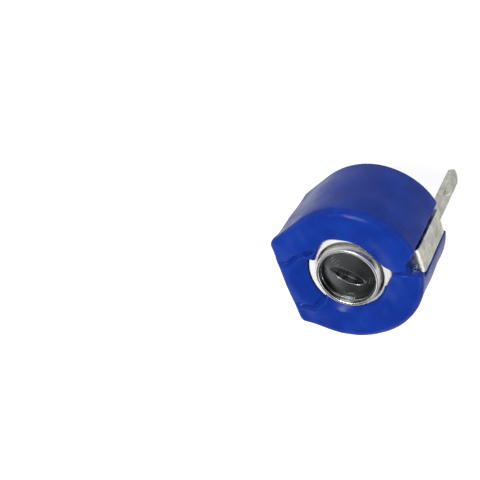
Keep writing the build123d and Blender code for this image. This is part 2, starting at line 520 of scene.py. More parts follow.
def meet(first: Array, second: Array, radius: float) -> Array:
    """The distance to the overlap of two solids, with the edge between them rounded."""
    corner = np.hypot(np.maximum(first + radius, 0.0), np.maximum(second + radius, 0.0))
    return np.minimum(np.maximum(first, second), -radius) + corner


def cut(solid: Array, tool: Array, radius: float) -> Array:
    """The distance to a solid with a tool's shape cut out of it, edges rounded."""
    return meet(solid, -tool, radius)


def step(value: Array, start: float, end: float) -> Array:
    """A smooth step from 0 at start to 1 at end."""
    share = np.clip((value - start) / (end - start), 0.0, 1.0)
    return share * share * (3.0 - 2.0 * share)


def box(
    x: Array, y: Array, z: Array, x_span: Sequence[float], half_y: float, z_span: Sequence[float]
) -> Array:
    """The distance to a box that is centred on Y."""
    along_x = np.maximum(x_span[0] - x, x - x_span[1])
    along_z = np.maximum(z_span[0] - z, z - z_span[1])
    return np.maximum(np.maximum(along_x, np.abs(y) - half_y), along_z)


def path_distance(x: Array, y: Array, points: Sequence[tuple[float, float]]) -> Array:
    """The distance in plan to a line of straight runs."""
    nearest = np.full(np.shape(x), np.inf)
    for (ax, ay), (bx, by) in zip(points, points[1:]):
        run_x = bx - ax
        run_y = by - ay
        share = ((x - ax) * run_x + (y - ay) * run_y) / (run_x**2 + run_y**2)
        share = np.clip(share, 0.0, 1.0)
        nearest = np.minimum(nearest, np.hypot(x - ax - share * run_x, y - ay - share * run_y))
    return nearest


class Mesher:
    """Turns a distance field into a closed mesh with evenly spread vertices."""

    def __init__(self, shape: Field, low: Sequence[float], high: Sequence[float], cell: float) -> None:
        """Keeps the field and the box it is looked at in.

        Args:
            shape: the signed distance, below zero inside.
            low: the box's lowest corner, outside the solid.
            high: the box's highest corner, outside the solid.
            cell: the size of a grid cell.
        """
        self.shape = shape
        self.low = np.array(low, float)
        self.cell = cell
        counts = np.ceil((np.array(high, float) - self.low) / cell).astype(int) + 1
        self.axes = [self.low[i] + cell * np.arange(counts[i]) for i in range(3)]

    def sample(self) -> Array:
        """The field at every grid point, worked out one slab at a time."""
        y, z = np.meshgrid(self.axes[1], self.axes[2], indexing="ij")
        return np.stack([self.shape(np.full_like(y, x), y, z) for x in self.axes[0]])

    def crossings(self, values: Array, cells: Array) -> Array:
        """The mean of the points where the surface crosses each cell's edges."""
        total = np.zeros((len(cells), 3))
        hits = np.zeros(len(cells))
        for axis in range(3):
            unit = np.eye(3, dtype=int)[axis]
            others = [i for i in range(3) if i != axis]
            for first in (0, 1):
                for second in (0, 1):
                    start = cells.copy()
                    start[:, others[0]] += first
                    start[:, others[1]] += second
                    end = start + unit
                    a = values[tuple(start.T)]
                    b = values[tuple(end.T)]
                    found = (a < 0.0) != (b < 0.0)
                    share = a[found] / (a[found] - b[found])
                    total[found] += start[found] + share[:, None] * unit
                    hits[found] += 1.0
        return self.low + self.cell * total / hits[:, None]

    def quads(self, inside: Array, index: Array) -> Array:
        """One face for each grid edge that the surface crosses, facing outwards."""
        faces = []
        for axis in range(3):
            side = np.eye(3, dtype=int)[(axis + 1) % 3]
            rise = np.eye(3, dtype=int)[(axis + 2) % 3]
            span = [slice(1, -1)] * 3
            span[axis] = slice(0, -1)
            ahead = list(span)
            ahead[axis] = slice(1, None)
            change = inside[tuple(span)] != inside[tuple(ahead)]
            start = np.argwhere(change) + side + rise
            ring = [start - side - rise, start - rise, start, start - side]
            quad = np.stack([index[tuple(corner.T)] for corner in ring], axis=1)
            leaving = inside[tuple(start.T)]
            quad[~leaving] = quad[~leaving][:, ::-1]
            faces.append(quad)
        return np.concatenate(faces)

    def settle(self, points: Array, faces: Array, rounds: int = 3) -> Array:
        """Spreads the vertices evenly and brings them back onto the surface.

        Args:
            points: the vertices.
            faces: the quads.
            rounds: how many times to spread and bring back.

        Returns:
            The moved vertices.
        """
        starts = faces.ravel()
        ends = np.roll(faces, -1, axis=1).ravel()
        degree = np.bincount(starts, minlength=len(points)) + np.bincount(ends, minlength=len(points))
        for turn in range(rounds):
            if turn < rounds - 1:
                mean = np.zeros_like(points)
                for i in range(3):
                    mean[:, i] = np.bincount(starts, points[ends, i], len(points))
                    mean[:, i] += np.bincount(ends, points[starts, i], len(points))
                points = points + 0.5 * (mean / degree[:, None] - points)
            points = self.onto_surface(points)
        return points

    def onto_surface(self, points: Array) -> Array:
        """Moves each vertex along the field's slope to the surface, by at most half a cell."""
        reach = 0.05 * self.cell
        x, y, z = points.T
        slope = np.stack(
            [
                self.shape(x + reach, y, z) - self.shape(x - reach, y, z),
                self.shape(x, y + reach, z) - self.shape(x, y - reach, z),
                self.shape(x, y, z + reach) - self.shape(x, y, z - reach),
            ],
            axis=1,
        ) / (2.0 * reach)
        steepness = np.maximum((slope**2).sum(axis=1), 0.05)
        shift = -(self.shape(x, y, z) / steepness)[:, None] * slope
        length = np.linalg.norm(shift, axis=1, keepdims=True)
        most = 0.5 * self.cell
        return points + shift * np.minimum(1.0, most / np.maximum(length, 1e-9))

    def build(self, name: str) -> bpy.types.Mesh:
        """Makes the mesh, in metres and smooth-shaded."""
        values = self.sample()
        inside = values < 0.0
        nx, ny, nz = values.shape
        count = np.zeros((nx - 1, ny - 1, nz - 1), int)
        for a in (0, 1):
            for b in (0, 1):
                for c in (0, 1):
                    count += inside[a : nx - 1 + a, b : ny - 1 + b, c : nz - 1 + c]
        active = (count > 0) & (count < 8)
        index = np.full(active.shape, -1)
        index[active] = np.arange(active.sum())
        points = self.crossings(values, np.argwhere(active))
        faces = self.quads(inside, index)
        points = self.settle(points, faces)
        mesh = bpy.data.meshes.new(name)
        mesh.from_pydata((points * MM).tolist(), [], faces.tolist())
        mesh.polygons.foreach_set("use_smooth", np.ones(len(faces), bool))
        mesh.update()
        return mesh


# ---------------------------------------------------------------- pieces


def place_piece(
    mesh: bpy.types.Mesh, name: str, body: Body, slot: Slot, finishes: FinishSet, replaced: Sequence[str]
) -> bpy.types.Object:
    """Puts a finished mesh on its body as a piece of the object.

    Args:
        mesh: the piece's mesh, already in place.
        name: the piece's name.
        body: the body it rides on.
        slot: the material slot it takes its finish from.
        finishes: the built materials.
        replaced: the CAD nodes that it stands for.

    Returns:
        The piece.
    """
    piece = bpy.data.objects.new(name, mesh)
    bpy.context.scene.collection.objects.link(piece)
    mesh.materials.clear()
    mesh.materials.append(finishes.of(slot))
    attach(piece, body.value)
    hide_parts(*replaced)
    LOG.info("%s: %d faces on %s, %s", name, len(mesh.polygons), body.value, slot.value)
    return piece


@dataclass(frozen=True)
class Swell:
    """A place where the softened lip stands out: its share of the bead, its middle and its widths."""

    share: float
    x: float
    y: float
    width_x: float
    width_y: float

    def height(self, x: Array, y: Array) -> Array:
        """How much of the bead stands out at a point."""
        apart = ((x - self.x) / self.width_x) ** 2 + ((y - self.y) / self.width_y) ** 2
        return self.share * np.exp(-apart)


@dataclass
class CaseMoulding:
    """The blue case: its wall, cavity, terminal ways and the lip that was softened over the disc."""

    radius: float
    height: float
    flat: float
    head_radius: float
    corner_reach: float = 0.40
    corner_rounding: float = 0.15
    lip_rounding: float = 0.30
    flat_rounding: float = 0.15
    seat_rounding: float = 0.10
    edge_rounding: float = 0.06
    wall: float = 0.55
    lip_thickness: float = 0.76
    lip_clearance: float = 0.22
    throat_inset: float = 0.13
    opening_bulges: tuple[tuple[float, float, float, float], ...] = (
        (106.0, 22.0, 0.18, 0.20), (62.0, 14.0, 0.02, 0.04), (28.0, 24.0, -0.10, 0.0),
        (-118.0, 34.0, 0.24, 0.02), (165.0, 26.0, -0.09, 0.0), (-40.0, 20.0, 0.05, 0.0),
    )
    lip_slope: float = 0.10
    tab_drop: float = 0.01
    tab_span: tuple[float, float] = (147.0, 214.0)
    tab_slope: float = 0.20
    bead: float = 0.10
    bead_rise: tuple[float, float] = (0.75, 0.25)
    crease_depth: float = 0.19
    crease_width: float = 0.085
    seam_depth: float = 0.16
    channel_floor: float = 2.60
    channel_half: float = 0.62
    mouth_bottom: float = 3.46
    disc_bottom: float = 2.52
    collar_seat: tuple[float, float] = (1.75, 3.70)
    floor_top: float = 1.60
    notch_top: float = 0.50
    lead_notch_inner: float = 2.31
    arm_notch_inner: float = 1.80
    arm_half: float = 0.52
    arm_way: tuple[float, float] = (-2.14, -1.745)
    bar_span: tuple[float, float] = (-1.43, -0.45)
    bar_half: float = 1.40
    bar_top: float = 1.20
    stem_end: float = 1.43
    stem_half: float = 0.72
    stem_top: float = 0.90
    cell: float = 0.052
    upper_crease: tuple[tuple[float, float], ...] = (
        (-2.90, 0.85), (-2.28, 0.88), (-1.92, 1.08), (-1.26, 1.23), (-0.97, 1.19),
    )
    lower_crease: tuple[tuple[float, float], ...] = (
        (-2.90, -1.02), (-2.40, -1.12), (-1.91, -1.28), (-1.40, -1.00),
    )
    seam: tuple[tuple[float, float], ...] = ((1.70, -0.08), (2.18, -0.10), (2.45, -0.14))
    notch: tuple[tuple[float, float], ...] = ((1.86, -0.06), (1.36, 0.34), (1.36, -0.66))

    def plan(self, x: Array, y: Array) -> Array:
        """The distance to the case's outline: an arc, two tangent shoulders and the flat."""
        corner_far = self.radius + self.corner_reach
        flat_half = math.sqrt(corner_far**2 - self.flat**2)
        shoulder = math.atan2(flat_half, -self.flat) - math.acos(self.radius / corner_far)
        side = np.abs(y)
        on_arc = np.arctan2(side, x) < shoulder
        line = math.cos(shoulder) * x + math.sin(shoulder) * side
        round_part = np.where(on_arc, np.hypot(x, y), line) - self.radius
        return meet(round_part, -x - self.flat, self.corner_rounding)

    def waves(self, x: Array, y: Array) -> Array:
        """Slow unevenness of the softened lip, between -1 and 1."""
        first = np.sin(2.9 * x + 1.3 * y + 0.6) * np.sin(2.2 * y - 1.1 * x + 1.9)
        second = np.sin(5.3 * x - 3.7 * y + 2.4) * np.sin(4.1 * x + 6.1 * y)
        return 0.65 * first + 0.35 * second

    def opening(self, angle: Array, z: Array) -> Array:
        """The uneven radius of the lip's opening, which narrows downwards round the head."""
        nominal = self.head_radius + self.lip_clearance
        top = nominal + 0.015 * np.sin(5.0 * angle + 0.7) + 0.010 * np.sin(11.0 * angle)
        low = nominal - self.throat_inset + 0.0 * angle
        for middle, spread, at_top, at_bottom in self.opening_bulges:
            apart = np.degrees(np.angle(np.exp(1j * (angle - math.radians(middle)))))
            bump = np.exp(-((apart / spread) ** 2))
            top = top + at_top * bump
            low = low + at_bottom * bump
        rise = step(z, self.collar_seat[1] - 0.05, self.height - 0.05)
        return low + (top - low) * rise

    def lip_top(self, x: Array, y: Array) -> Array:
        """The height of the lip's upper face."""
        radial = np.hypot(x, y)
        degrees = np.degrees(np.arctan2(y, x)) % 360.0
        nominal = self.head_radius + self.lip_clearance
        top = self.height - self.lip_slope * step(radial, nominal + 0.75, nominal - 0.05)
        top = top - 0.05 * step(radial, nominal + 0.85, self.radius)
        low, high = self.tab_span
        on_tab = step(degrees, low - 3.0, low + 4.0) * step(degrees, high + 4.0, high - 3.0)
        top = top - on_tab * (self.tab_drop + self.tab_slope * step(radial, 2.4, nominal))
        for crease, depth in ((self.upper_crease, 1.0), (self.lower_crease, 0.85)):
            away = path_distance(x, y, crease)
            fold = np.exp(-((away / self.crease_width) ** 2))
            fold = fold * step(x, -self.flat - 0.1, -2.2) * step(radial, nominal - 0.1, nominal + 0.25)
            roll = np.exp(-(((away - 0.19) / 0.11) ** 2)) * (1.0 - on_tab)
            top = top - depth * self.crease_depth * fold + 0.045 * roll
        groove = np.exp(-((path_distance(x, y, self.seam) / 0.06) ** 2))
        top = top - self.seam_depth * groove
        return top + 0.022 * self.waves(x, y)

    def beads(self, x: Array, y: Array, z: Array) -> Array:
        """How far the softened lip stands out at the flat's two corners and along the flat."""
        low, high = self.bead_rise
        near_top = step(z, self.height - low, self.height - high)
        flat_half = math.sqrt((self.radius + self.corner_reach) ** 2 - self.flat**2)
        corner = flat_half - 0.1
        swells = (
            Swell(0.1, -self.flat, -corner, 0.42, 0.42),
            Swell(0.3, -self.flat, corner, 0.36, 0.36),
            Swell(0.3, -self.flat, 0.95, math.sqrt(0.1), 0.20),
            Swell(1.1, -self.flat, 0.0, math.sqrt(0.2), 1.6),
            Swell(1.35, -1.55, -2.6, 1.15, 0.6),
        )
        return near_top * self.bead * sum(swell.height(x, y) for swell in swells)

    def shape(self, x: Array, y: Array, z: Array) -> Array:
        """The signed distance to the case."""
        radial = np.hypot(x, y)
        angle = np.arctan2(y, x)
        plan = self.plan(x, y)
        edge = self.edge_rounding
        lip_bottom = self.height - self.lip_thickness
        uneven = 0.012 * np.sin(3.1 * z + 2.0 * angle) * np.sin(4.0 * angle + 1.0)
        rounding = self.flat_rounding + (self.lip_rounding - self.flat_rounding) * step(x, -self.flat, -1.6)
        solid = meet(plan - self.beads(x, y, z) - uneven, z - self.lip_top(x, y), rounding)
        solid = meet(solid, -z, self.seat_rounding)
        room = np.maximum(plan + self.wall, np.maximum(self.floor_top - z, z - lip_bottom))
        solid = cut(solid, room, edge)
        mouth = np.maximum(radial - self.opening(angle, z), lip_bottom - edge - z)
        solid = cut(solid, mouth, 0.07)
        seat_radius, seat_top = self.collar_seat
        seat = np.maximum(radial - seat_radius, np.maximum(lip_bottom - edge - z, z - seat_top))
        solid = cut(solid, seat, 0.02)
        solid = cut(solid, np.maximum(self.notch_plan(x, y), lip_bottom - edge - z), 0.10)
        far = 2.0 * self.radius
        low_way = box(x, y, z, (self.channel_floor, far), self.channel_half, (-far, self.mouth_bottom))
        solid = cut(solid, low_way, edge)
        solid = cut(solid, self.mouth_shape(x, y, z), 0.09)
        tongue_way = box(
            x, y, z, (self.head_radius, far), self.channel_half, (self.disc_bottom, self.mouth_bottom)
        )
        solid = cut(solid, tongue_way, 0.03)
        lead_way = box(x, y, z, (self.lead_notch_inner, far), self.channel_half, (-far, self.notch_top))
        solid = cut(solid, lead_way, edge)
        arm_notch = box(x, y, z, (-far, -self.arm_notch_inner), self.arm_half, (-far, self.notch_top))
        solid = cut(solid, arm_notch, edge)
        arm_way = box(x, y, z, self.arm_way, self.arm_half, (-far, self.floor_top + edge))
        solid = cut(solid, arm_way, edge)
        bar = box(x, y, z, self.bar_span, self.bar_half, (-far, self.bar_top))
        solid = cut(solid, bar, edge)
        stem_span = (self.bar_span[0], self.stem_end)
        stem = box(x, y, z, stem_span, self.stem_half, (-far, self.stem_top))
        return cut(solid, stem, edge)

    def notch_plan(self, x: Array, y: Array) -> Array:
        """The distance to the small three-sided notch beside the seam."""
        away = np.full(np.shape(x), -np.inf)
        corners = self.notch
        for (ax, ay), (bx, by) in zip(corners, corners[1:] + corners[:1]):
            run = math.hypot(bx - ax, by - ay)
            outward = ((y - ay) * (bx - ax) - (x - ax) * (by - ay)) / -run
            away = np.maximum(away, outward)
        return away

    def mouth_shape(self, x: Array, y: Array, z: Array) -> Array:
        """The tapering mouth that the lip leaves over the side channel."""
        upper = y - (0.26 + 0.85 * (x - 2.50))
        lower = (-0.24 - 0.30 * (x - 2.45)) - y
        inner = 2.42 - x
        sides = meet(meet(upper, inner, 0.12), lower, 0.12)
        return np.maximum(sides, self.mouth_bottom - 0.12 - z)

    def build(self, finishes: FinishSet) -> bpy.types.Object:
        """Makes the case.

        Args:
            finishes: the built materials.

        Returns:
            The piece.
        """
        margin = 3.0 * self.cell + self.bead
        reach = self.radius + margin
        low = (-self.flat - margin, -reach, -margin)
        high = (reach, reach, self.height + margin)
        mesh = Mesher(self.shape, low, high, self.cell).build("case_moulding")
        return place_piece(mesh, "case_moulding", Body.STATOR, Slot.BLUE_PLASTIC, finishes, ["case"])


@dataclass
class AdjusterHead:
    """The turned head: a boss, a raised rim round a crowned dish, and the driver slot."""

    radius: float
    top: float
    bottom: float
    plate_thickness: float = 0.20
    boss_inset: float = 0.33
    rim_wall: float = 0.13
    dish_depth: float = 0.28
    dish_crown: float = 0.16
    slot_half_length: float = 0.66
    slot_half_width: float = 0.25
    slot_depth: float = 0.35
    slot_angle: float = -35.0
    rim_inset: float = 0.03
    cell: float = 0.021

    @property
    def dish_radius(self) -> float:
        """The dish's radius, inside the rim."""
        return self.radius - self.rim_inset - self.rim_wall

    def shape(self, x: Array, y: Array, z: Array) -> Array:
        """The signed distance to the head."""
        angle = np.arctan2(y, x)
        uneven = 0.010 * np.sin(3.0 * angle + 0.5) + 0.006 * np.sin(7.0 * angle)
        radial = np.hypot(x, y)
        under = self.bottom + self.plate_thickness
        rim_top = self.top + 0.012 * np.sin(2.0 * angle + 1.0)
        drum = meet(radial - self.radius + self.rim_inset - uneven, z - rim_top, 0.055)
        drum = meet(drum, under - z, 0.03)
        boss = np.maximum(radial - self.radius + self.boss_inset, z - under - 0.1)
        boss = meet(boss, self.bottom - z, 0.03)
        solid = np.minimum(drum, boss)
        inner = np.hypot(x - 0.012, y + 0.008)
        share = np.clip(inner / self.dish_radius, 0.0, 1.0)
        dish_floor = self.top - self.dish_depth + self.dish_crown * (1.0 - share**2)
        dish = meet(inner - self.dish_radius - 0.5 * uneven, dish_floor - z, 0.12)
        solid = cut(solid, dish, 0.035)
        turn = math.radians(self.slot_angle)
        along = math.cos(turn) * x + math.sin(turn) * y
        across = -math.sin(turn) * x + math.cos(turn) * y
        lens = np.hypot(along / self.slot_half_length, across / self.slot_half_width)
        slot_floor = self.top - self.dish_depth + self.dish_crown - self.slot_depth
        slot_floor = slot_floor + 0.18 * (along / self.slot_half_length) ** 2
        slot = np.maximum((lens - 1.0) * self.slot_half_width, slot_floor - z)
        return cut(solid, slot, 0.045)

    def build(self, finishes: FinishSet) -> bpy.types.Object:
        """Makes the head.

        Args:
            finishes: the built materials.

        Returns:
            The piece.
        """
        margin = 3.0 * self.cell
        reach = self.radius + margin
        low = (-reach, -reach, self.bottom - margin)
        high = (reach, reach, self.top + margin)
        mesh = Mesher(self.shape, low, high, self.cell).build("turned_head")
        return place_piece(mesh, "turned_head", Body.ROTOR, Slot.PLATED_HEAD, finishes, ["adjuster_head"])


class StripTree:
    """The node tree that bends sheet metal along a path, with a rounded tip and a pressed rib."""

    INPUTS: dict[str, Any] = {
        "Geometry": "NodeSocketGeometry",
        "Bend Radius": 0.135 * MM,
        "Sheet": 0.22 * MM,
        "Upper Width": 1.0 * MM,
        "Lead Width": 0.7 * MM,
        "Shoulder": 0.19 * MM,
        "Tip": -3.8 * MM,
        "Rib Middle": -2.35 * MM,
        "Rib Length": 1.25 * MM,
        "Rib Width": 0.36 * MM,
        "Rib Height": 0.19 * MM,
        "Side": 1.0,
        "Unevenness": 0.03 * MM,
        "Seed": 1.0,
        "Ring Radius": 0.0,
        "Ring Width": 0.0,
        "Ring Height": 0.0,
        "Steps Along": 260,
        "Steps Across": 19,
        "Material": "NodeSocketMaterial",
    }

    def __init__(self) -> None:
        """Builds the tree."""
        outputs = {"Geometry": "NodeSocketGeometry"}
        self.tree = group_tree("sheet_strip", "GeometryNodeTree", self.INPUTS, outputs)
        ends = self.tree.add("NodeGroupInput").outputs
        strip = self.strip(ends)
        ring = self.ring(ends)
        tree = self.tree
        joined = tree.add("GeometryNodeJoinGeometry")
        tree.put(ring, joined.inputs[0])
        tree.put(strip, joined.inputs[0])
        realised = tree.add("GeometryNodeRealizeInstances", {"Geometry": joined.outputs[0]})
        dressed = tree.add(
            "GeometryNodeSetMaterial", {"Geometry": realised.outputs[0], "Material": ends["Material"]}
        )
        tree.add("NodeGroupOutput", {"Geometry": dressed.outputs[0]})

    def strip(self, ends: Any) -> bpy.types.NodeSocket:
        """A long closed block, laid along the path.

        Args:
            ends: the tree's inputs.

        Returns:
            The strip's geometry.
        """
        tree = self.tree
        line = tree.add("GeometryNodeMeshToCurve", {"Mesh": ends["Geometry"]})
        bends = tree.add(
            "GeometryNodeFilletCurve",
            {"Curve": line.outputs[0], "Count": 10, "Radius": ends["Bend Radius"], "Limit Radius": True},
            mode="POLY",
        )
        block = tree.add(
            "GeometryNodeMeshCube",
            {
                "Size": (1.0, 1.0, 1.0),
                "Vertices X": ends["Steps Along"],
                "Vertices Y": ends["Steps Across"],
                "Vertices Z": 5,
            },
        )
        here = tree.add("ShaderNodeSeparateXYZ")
        tree.put(tree.add("GeometryNodeInputPosition").outputs[0], here.inputs[0])
        share = tree.math("ADD", here.outputs["X"], 0.5)
        sampled = tree.add(
            "GeometryNodeSampleCurve", {"Curves": bends.outputs[0]}, mode="FACTOR", use_all_curves=True
        )
        factor = next(s for s in sampled.inputs if s.name == "Factor" and s.enabled)
        tree.put(share, factor)
        centre = sampled.outputs["Position"]
        height = tree.add("ShaderNodeSeparateXYZ")
        tree.put(centre, height.inputs[0])
        level = height.outputs["Z"]
        width = self.width(ends, level)
        across = tree.math("MULTIPLY", here.outputs["Y"], width)
        outward = tree.vector("CROSS_PRODUCT", sampled.outputs["Tangent"], (0.0, 1.0, 0.0))
        outward = tree.scaled(outward, ends["Side"])
        raised = self.rib(ends, level, across)
        noise = tree.add(
            "ShaderNodeTexNoise",
            {"Vector": centre, "W": ends["Seed"], "Scale": 1.1 / MM, "Detail": 2.0},
            noise_dimensions="4D",
        )
        ripple = tree.math("SUBTRACT", noise.outputs["Fac"], 0.5)
        raised = tree.math("ADD", raised, tree.math("MULTIPLY", ripple, ends["Unevenness"]))
        thick = tree.math("MULTIPLY", here.outputs["Z"], ends["Sheet"])
        offset = tree.scaled(outward, tree.math("ADD", thick, raised))
        aside = tree.add("ShaderNodeCombineXYZ", {"Y": across})
        place = tree.vector("ADD", centre, tree.vector("ADD", offset, aside.outputs[0]))
        moved = tree.add("GeometryNodeSetPosition", {"Geometry": block.outputs["Mesh"], "Position": place})
        return moved.outputs[0]

    def width(self, ends: Any, level: bpy.types.NodeSocket) -> bpy.types.NodeSocket:
        """The strip's width at a height: wide above the shoulder, round at the tip.

        Args:
            ends: the tree's inputs.
            level: the path's height.

        Returns:
            The width.
        """
        tree = self.tree
        blend_reach = 0.05 * MM
        start = tree.math("SUBTRACT", ends["Shoulder"], blend_reach)
        end = tree.math("ADD", ends["Shoulder"], blend_reach)
        body = tree.ease(level, start, end, ends["Lead Width"], ends["Upper Width"])
        half = tree.math("MULTIPLY", ends["Lead Width"], 0.5)
        from_tip = tree.math("DIVIDE", tree.math("SUBTRACT", level, ends["Tip"]), half)
        to_centre = tree.math("SUBTRACT", 1.0, from_tip, clamp=True)
        chord = tree.math("SUBTRACT", 1.0, tree.math("POWER", to_centre, 2.0))
        rounded = tree.math("SQRT", tree.math("MAXIMUM", chord, 0.003))
        return tree.math("MULTIPLY", body, rounded)

    def rib(
        self, ends: Any, level: bpy.types.NodeSocket, across: bpy.types.NodeSocket
    ) -> bpy.types.NodeSocket:
        """How far the pressed rib stands out at a point of the lead.

        Args:
            ends: the tree's inputs.
            level: the point's height.
            across: the point's place across the lead.

        Returns:
            The rib's height there.
        """
        tree = self.tree
        from_middle = tree.math("SUBTRACT", level, ends["Rib Middle"])
        along = tree.math("DIVIDE", from_middle, tree.math("MULTIPLY", ends["Rib Length"], 0.5))
        aside = tree.math("DIVIDE", across, tree.math("MULTIPLY", ends["Rib Width"], 0.5))
        both = tree.math("ADD", tree.math("POWER", along, 2.0), tree.math("POWER", aside, 2.0))
        crown = tree.ease(both, 1.05, 0.35)
        return tree.math("MULTIPLY", crown, ends["Rib Height"])

    def ring(self, ends: Any) -> bpy.types.NodeSocket:
        """A flat contact ring about the axis, or nothing where its width is zero.

        Args:
            ends: the tree's inputs.

        Returns:
            The ring's geometry.
        """
        tree = self.tree
        circle = tree.add(
            "GeometryNodeCurvePrimitiveCircle", {"Resolution": 96, "Radius": ends["Ring Radius"]}
        )
        profile = tree.add(
            "GeometryNodeCurvePrimitiveQuadrilateral", {"Width": ends["Ring Width"], "Height": ends["Sheet"]}
        )
        swept = tree.add(
            "GeometryNodeCurveToMesh", {"Curve": circle.outputs[0], "Profile Curve": profile.outputs[0]}
        )
        lift = tree.add("ShaderNodeCombineXYZ", {"Z": ends["Ring Height"]})
        lifted = tree.add(
            "GeometryNodeTransform", {"Geometry": swept.outputs[0], "Translation": lift.outputs[0]}
        )
        wanted = tree.add(
            "FunctionNodeCompare", {"A": ends["Ring Width"], "B": 0.0}, operation="GREATER_THAN"
        )
        switch = tree.add("GeometryNodeSwitch", {"Switch": wanted.outputs[0]}, input_type="GEOMETRY")
        tree.put(lifted.outputs[0], switch.inputs["True"])
        return switch.outputs[0]


@dataclass
class Terminal:
    """One of the two sheet-metal terminals, from its contact on the stack to its lead's tip."""

    name: str
    node: str
    side: Side
    path: Sequence[tuple[float, float]]
    upper_width: float
    seed: float
    lead_tip: float
    sheet: float = 0.22
    bend_inside: float = 0.025
    lead_width: float = 0.70
    jog_height: float = 0.30
    edge_rounding: float = 0.035
    ring_radius: float = 0.0
    ring_width: float = 0.0
    ring_height: float = 0.0

    def values(self, material: bpy.types.Material) -> dict[str, Any]:
        """The node tree's inputs for this terminal."""
        return {
            "Bend Radius": (self.bend_inside + 0.5 * self.sheet) * MM,
            "Sheet": self.sheet * MM,
            "Upper Width": self.upper_width * MM,
            "Lead Width": self.lead_width * MM,
            "Shoulder": (self.jog_height - 0.5 * self.sheet) * MM,
            "Tip": self.lead_tip * MM,
            "Side": self.side.value,
            "Seed": self.seed,
            "Ring Radius": self.ring_radius * MM,
            "Ring Width": self.ring_width * MM,
            "Ring Height": self.ring_height * MM,
            "Material": material,
        }

    def build(self, tree: StripTree, finishes: FinishSet) -> bpy.types.Object:
        """Makes the terminal.

        Args:
            tree: the sheet-metal node tree.
            finishes: the built materials.

        Returns:
            The piece.
        """
        points = [(x * MM, 0.0, z * MM) for x, z in self.path]
        line = bpy.data.meshes.new(self.name + "_path")
        line.from_pydata(points, [(i, i + 1) for i in range(len(points) - 1)], [])
        carrier = bpy.data.objects.new(self.name + "_path", line)
        bpy.context.scene.collection.objects.link(carrier)
        modifier = carrier.modifiers.new("strip", "NODES")
        modifier.node_group = tree.tree.tree
        sockets = {s.name: s.identifier for s in tree.tree.tree.interface.items_tree if s.in_out == "INPUT"}
        for label, value in self.values(finishes.of(Slot.TINNED_METAL)).items():
            modifier[sockets[label]] = value
        bevel = carrier.modifiers.new("rounded_edges", "BEVEL")
        bevel.width = self.edge_rounding * MM
        bevel.segments = 2
        bevel.limit_method = "ANGLE"
        bevel.angle_limit = math.radians(50.0)
        evaluated = carrier.evaluated_get(bpy.context.evaluated_depsgraph_get())
        mesh = bpy.data.meshes.new_from_object(evaluated)
        mesh.name = self.name
        bpy.data.objects.remove(carrier)
        self.close(mesh)
        return place_piece(mesh, self.name, Body.STATOR, Slot.TINNED_METAL, finishes, [self.node])

    def close(self, mesh: bpy.types.Mesh) -> None:
        """Merges doubles, turns the faces outwards and shades them smooth."""
        work = bmesh.new()
        work.from_mesh(mesh)
        bmesh.ops.remove_doubles(work, verts=work.verts, dist=1e-8)
        bmesh.ops.dissolve_degenerate(work, edges=work.edges, dist=1e-8)
        bmesh.ops.recalc_face_normals(work, faces=work.faces)
        for face in work.faces:
            face.smooth = True
        work.to_mesh(mesh)
        work.free()
        mesh.update()


@dataclass
class CeramicDisc:
    """The fired disc, with the raised collar that shows inside the lip's opening."""

    low: Vector
    high: Vector
    bore: float
    body_top: float
    case: CaseMoulding
    inset: float = 0.60
    collar_width: float = 0.31
    rounding: float = 0.05
    cell: float = 0.045

    def shape(self, x: Array, y: Array, z: Array) -> Array:
        """The signed distance to the disc."""
        radial = np.hypot(x, y)
        body = meet(self.case.plan(x, y) + self.inset, z - self.body_top, self.rounding)
        collar = meet(radial - self.bore - self.collar_width, z - self.high.z, self.rounding)
        solid = meet(np.minimum(body, collar), self.low.z - z, self.rounding)
        return cut(solid, radial - self.bore, 0.03)

    def build(self, finishes: FinishSet) -> bpy.types.Object:
        """Makes the disc.

        Args:
            finishes: the built materials.

        Returns:
            The piece.
        """
        margin = 3.0 * self.cell
        low = [value - margin for value in self.low]
        high = [value + margin for value in self.high]
        mesh = Mesher(self.shape, low, high, self.cell).build("ceramic_disc")
        return place_piece(mesh, "ceramic_disc", Body.STATOR, Slot.WHITE_CERAMIC, finishes, ["stator_disc"])


@dataclass
class SolderFillet:
    """The drop of solder that runs from the terminal's tongue to the disc's collar."""

    low: Vector
    high: Vector
    head_radius: float
    clearance: float = 0.42
    reach: float = 0.26
    rise: float = 0.04
    cell: float = 0.022

    def shape(self, x: Array, y: Array, z: Array) -> Array:
        """The signed distance to the solder."""
        middle_x = self.high.x - 0.5 * self.reach
        half_y = 0.5 * (self.high.y - self.low.y) + 0.05 * np.sin(9.0 * x)
        half_z = self.high.z - self.low.z + self.rise
        away = np.sqrt(
            ((x - middle_x) / self.reach) ** 2 + ((y + 0.12) / half_y) ** 2 + ((z - self.low.z) / half_z) ** 2
        )
        drop = (away - 1.0) * self.reach
        drop = meet(drop, self.low.z - z, 0.02)
        drop = cut(drop, np.hypot(x, y) - self.head_radius - self.clearance, 0.05)
        return meet(drop, x - self.high.x, 0.02)

    def build(self, finishes: FinishSet) -> bpy.types.Object:
        """Makes the solder.

        Args:
            finishes: the built materials.

        Returns:
            The piece.
        """
        margin = 3.0 * self.cell
        low = (self.head_radius, self.low.y - 0.3, self.low.z - margin)
        high = (self.high.x + margin, self.high.y + 0.2, self.high.z + self.rise + margin)
        mesh = Mesher(self.shape, low, high, self.cell).build("solder_fillet")
        return place_piece(mesh, "solder_fillet", Body.STATOR, Slot.SOLDER, finishes, ["solder_joint"])


